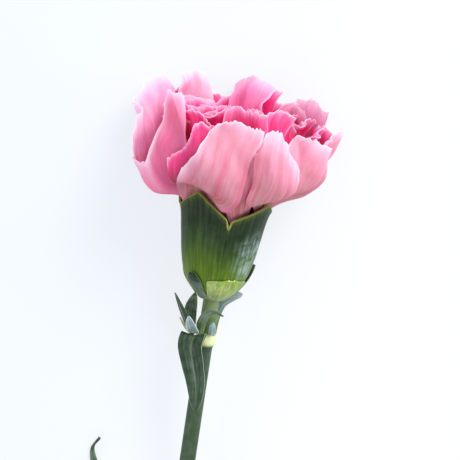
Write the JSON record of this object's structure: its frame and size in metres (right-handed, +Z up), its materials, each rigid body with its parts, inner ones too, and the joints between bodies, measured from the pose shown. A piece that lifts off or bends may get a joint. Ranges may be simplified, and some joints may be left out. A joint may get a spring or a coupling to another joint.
{
  "type": "cut carnation flower",
  "caption": "Double pink carnation bloom in a green calyx on a cut stem with narrow leaves, lying on its side.",
  "frame": {"origin": "on the surface the flower lies on, under the middle of its bounding box", "axes": "+Y along the stem towards the petals, +Z up from the surface; the flower's face side is up"},
  "size_m": [0.0732, 0.217, 0.0553],
  "materials": {
    "outer_petal": "soft matte, thin and translucent",
    "inner_petal": "soft matte, thin and translucent",
    "calyx": "satin with a faint bloom",
    "bract": "satin",
    "stem": "satin with a faint bloom",
    "leaf": "satin with a bluish bloom",
    "dry_scale": "dry matte"
  },
  "bodies": {
    "root": {"bract_back": "bract", "bract_front_left": "bract", "bract_front_right": "bract", "bract_right": "bract", "calyx": "calyx", "dry_scale": "dry_scale", "fifth_petal_1": "inner_petal", "fifth_petal_2": "inner_petal", "fifth_petal_3": "inner_petal", "fifth_petal_4": "inner_petal", "fifth_petal_5": "inner_petal", "fourth_petal_1": "inner_petal", "fourth_petal_2": "inner_petal", "fourth_petal_3": "inner_petal", "fourth_petal_4": "inner_petal", "fourth_petal_5": "inner_petal", "fourth_petal_6": "inner_petal", "guard_petal_1": "outer_petal", "guard_petal_10": "outer_petal", "guard_petal_11": "outer_petal", "guard_petal_12": "outer_petal", "guard_petal_2": "outer_petal", "guard_petal_3": "outer_petal", "guard_petal_4": "outer_petal", "guard_petal_5": "outer_petal", "guard_petal_6": "outer_petal", "guard_petal_7": "outer_petal", "guard_petal_8": "outer_petal", "guard_petal_9": "outer_petal", "heart_petal_1": "inner_petal", "heart_petal_2": "inner_petal", "heart_petal_3": "inner_petal", "lower_leaf_left": "leaf", "lower_leaf_right": "leaf", "second_petal_1": "outer_petal", "second_petal_2": "outer_petal", "second_petal_3": "outer_petal", "second_petal_4": "outer_petal", "second_petal_5": "outer_petal", "second_petal_6": "outer_petal", "second_petal_7": "outer_petal", "second_petal_8": "outer_petal", "second_petal_9": "outer_petal", "side_leaf_1": "leaf", "side_leaf_2": "leaf", "side_leaf_3": "leaf", "side_leaf_4": "leaf", "side_leaf_5": "leaf", "stem": "stem", "third_petal_1": "outer_petal", "third_petal_2": "outer_petal", "third_petal_3": "outer_petal", "third_petal_4": "outer_petal", "third_petal_5": "outer_petal", "third_petal_6": "outer_petal", "third_petal_7": "outer_petal", "third_petal_8": "outer_petal", "upper_leaf_back": "leaf", "upper_leaf_front": "leaf"}
  },
  "joints": []
}
